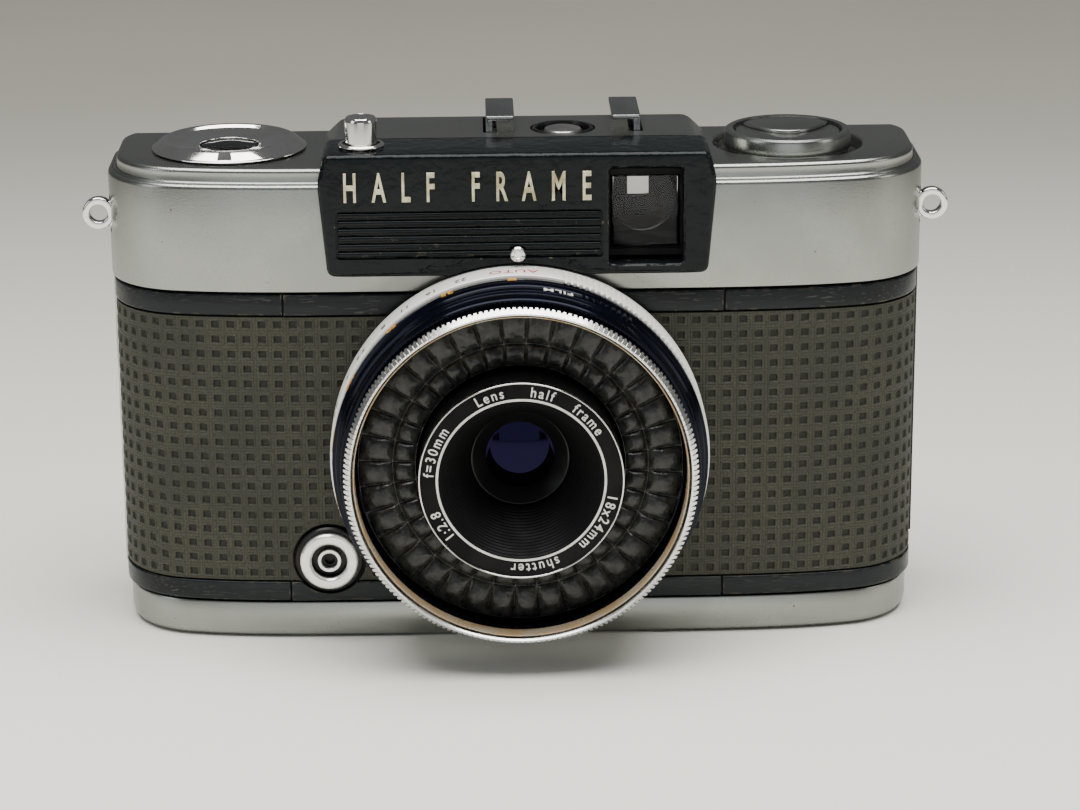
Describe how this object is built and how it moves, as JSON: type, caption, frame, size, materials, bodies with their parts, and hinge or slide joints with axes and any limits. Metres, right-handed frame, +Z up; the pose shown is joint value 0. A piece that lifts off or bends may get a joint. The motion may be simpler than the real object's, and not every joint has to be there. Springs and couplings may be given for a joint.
{
  "type": "half frame camera",
  "caption": "Compact half frame film camera with a light-cell ring round its lens, satin metal covers, finder fascia, accessory shoe and hinged back",
  "frame": {"origin": "under the middle of the base, at the centre of the bounding box's bottom face", "axes": "+X to the right seen from the front, -Y along the lens towards the subject, +Z up"},
  "size_m": [0.1144, 0.0448, 0.0711],
  "materials": {
    "satin_chrome": "satin bead-blasted chrome plate, lightly worn",
    "polished_chrome": "polished chrome plate with fine scratches",
    "black_enamel": "thick gloss black enamel with light orange peel",
    "black_paint": "semi-matt black paint, worn to bare metal at edges",
    "blue_black": "gloss blue-black anodised with filled numerals",
    "leatherette": "olive-grey leatherette with a grid of square pits",
    "cast_alloy": "die-cast alloy, matt black inside",
    "steel": "turned and stamped steel",
    "brass": "plain turned brass",
    "clear_glass": "coated optical glass with a violet-blue bloom",
    "cell_plastic": "smoked clear plastic moulded as rings of small lenses",
    "selenium": "dark selenium cell plate",
    "black_plastic": "moulded black plastic"
  },
  "bodies": {
    "camera": {"bottom_plate": "satin_chrome", "tripod_socket": "steel", "base_screw_1": "steel", "base_screw_2": "steel", "body_casting": "cast_alloy", "leatherette_left": "leatherette", "leatherette_right": "leatherette", "trim_lower_left": "black_paint", "trim_lower_right": "black_paint", "trim_upper_left": "black_paint", "trim_upper_right": "black_paint", "front_plate": "black_paint", "top_cover": "satin_chrome", "strap_lug_left": "polished_chrome", "strap_lug_right": "polished_chrome", "front_fascia": "black_enamel", "index_pin": "polished_chrome", "button_collar": "polished_chrome", "viewfinder_tube": "black_plastic", "viewfinder_window": "clear_glass", "viewfinder_objective": "clear_glass", "eyepiece_frame": "black_plastic", "eyepiece_glass": "clear_glass", "accessory_shoe": "satin_chrome", "shoe_insulator": "black_plastic", "shoe_contact": "steel", "counter_bezel": "polished_chrome", "counter_window": "clear_glass", "sync_socket_base": "black_plastic", "sync_socket_ring": "polished_chrome", "lens_mount": "black_paint", "lens_barrel": "black_plastic", "selenium_cell": "selenium", "bubble_lens_ring": "cell_plastic", "name_ring": "polished_chrome", "lens_cone": "black_plastic", "front_element": "clear_glass", "rear_element": "clear_glass", "shutter_plate": "cast_alloy", "hinge_pin": "steel"},
    "shutter_button": {"shutter_button": "polished_chrome"},
    "aperture_ring": {"aperture_ring": "satin_chrome"},
    "film_speed_ring": {"film_speed_ring": "blue_black"},
    "focus_ring": {"focus_ring": "polished_chrome"},
    "left_blade": {"shutter_blade_left": "steel"},
    "right_blade": {"shutter_blade_right": "steel"},
    "advance_wheel": {"advance_wheel": "black_plastic"},
    "take_up_spool": {"take_up_spool": "black_plastic"},
    "sprocket": {"sprocket": "steel"},
    "counter_dial": {"counter_dial": "black_plastic"},
    "rewind_lift": {"rewind_bush": "brass"},
    "rewind_knob": {"rewind_knob": "satin_chrome", "rewind_fork": "steel"},
    "rewind_crank": {"rewind_crank": "polished_chrome"},
    "back_door": {"back_door": "black_paint", "door_covering": "leatherette", "pressure_spring": "brass"},
    "pressure_plate": {"pressure_plate": "black_paint"},
    "door_latch": {"door_latch": "black_paint"},
    "rewind_release": {"rewind_release_button": "polished_chrome"}
  },
  "joints": [
    {"name": "button_press", "type": "slide", "parent": "camera", "child": "shutter_button", "axis": [0, 0, 1], "range_m": [-0.0016, 0], "stiffness_N_per_m": 250},
    {"name": "aperture_turn", "type": "hinge", "parent": "camera", "child": "aperture_ring", "pos_m": [0, -0.011, 0.02746], "axis": [0, -1, 0], "range_deg": [-100, 0]},
    {"name": "film_speed_turn", "type": "hinge", "parent": "camera", "child": "film_speed_ring", "pos_m": [0, -0.016, 0.02746], "axis": [0, -1, 0], "range_deg": [-45, 45]},
    {"name": "focus_turn", "type": "hinge", "parent": "camera", "child": "focus_ring", "pos_m": [0, -0.0207, 0.02746], "axis": [0, -1, 0], "range_deg": [0, 70]},
    {"name": "left_blade_swing", "type": "hinge", "parent": "camera", "child": "left_blade", "pos_m": [-0.0095, 0.0006, 0.01996], "axis": [0, -1, 0], "range_deg": [0, 50]},
    {"name": "right_blade_swing", "type": "hinge", "parent": "camera", "child": "right_blade", "pos_m": [0.0095, 0.0011, 0.01996], "axis": [0, -1, 0], "range_deg": [-50, 0]},
    {"name": "advance_turn", "type": "hinge", "parent": "camera", "child": "advance_wheel", "pos_m": [-0.036, 0.0099, 0.0515], "axis": [0, 0, 1], "continuous": true},
    {"name": "take_up_turn", "type": "hinge", "parent": "camera", "child": "take_up_spool", "pos_m": [-0.038, 0.0075, 0.0278], "axis": [0, 0, 1], "continuous": true},
    {"name": "sprocket_turn", "type": "hinge", "parent": "camera", "child": "sprocket", "pos_m": [-0.0195, 0.01135, 0.0278], "axis": [0, 0, 1], "continuous": true},
    {"name": "counter_turn", "type": "hinge", "parent": "camera", "child": "counter_dial", "pos_m": [-0.0378, 0.0075, 0.0614], "axis": [0, 0, 1], "continuous": true},
    {"name": "rewind_pull", "type": "slide", "parent": "camera", "child": "rewind_lift", "axis": [0, 0, 1], "range_m": [0, 0.006]},
    {"name": "rewind_turn", "type": "hinge", "parent": "rewind_lift", "child": "rewind_knob", "pos_m": [0.0361, 0.0075, 0.0646], "axis": [0, 0, 1], "continuous": true},
    {"name": "crank_fold", "type": "hinge", "parent": "rewind_knob", "child": "rewind_crank", "pos_m": [0.0361, 0.0135, 0.066], "axis": [-1, 0, 0], "range_deg": [0, 105]},
    {"name": "door_swing", "type": "hinge", "parent": "camera", "child": "back_door", "pos_m": [-0.05375, 0.01045, 0.0268], "axis": [0, 0, 1], "range_deg": [0, 110]},
    {"name": "plate_press", "type": "slide", "parent": "back_door", "child": "pressure_plate", "axis": [0, 1, 0], "range_m": [0, 0.0006], "stiffness_N_per_m": 300},
    {"name": "latch_pull", "type": "slide", "parent": "camera", "child": "door_latch", "axis": [0, 0, 1], "range_m": [-0.0025, 0], "stiffness_N_per_m": 120},
    {"name": "release_press", "type": "slide", "parent": "camera", "child": "rewind_release", "axis": [0, 0, 1], "range_m": [0, 0.0008], "stiffness_N_per_m": 200}
  ],
  "couplings": [
    {"joint": "right_blade_swing", "follows": "left_blade_swing", "ratio": -1},
    {"joint": "take_up_turn", "follows": "advance_turn", "ratio": 1},
    {"joint": "sprocket_turn", "follows": "advance_turn", "ratio": 1},
    {"joint": "counter_turn", "follows": "advance_turn", "ratio": 0.027778}
  ]
}
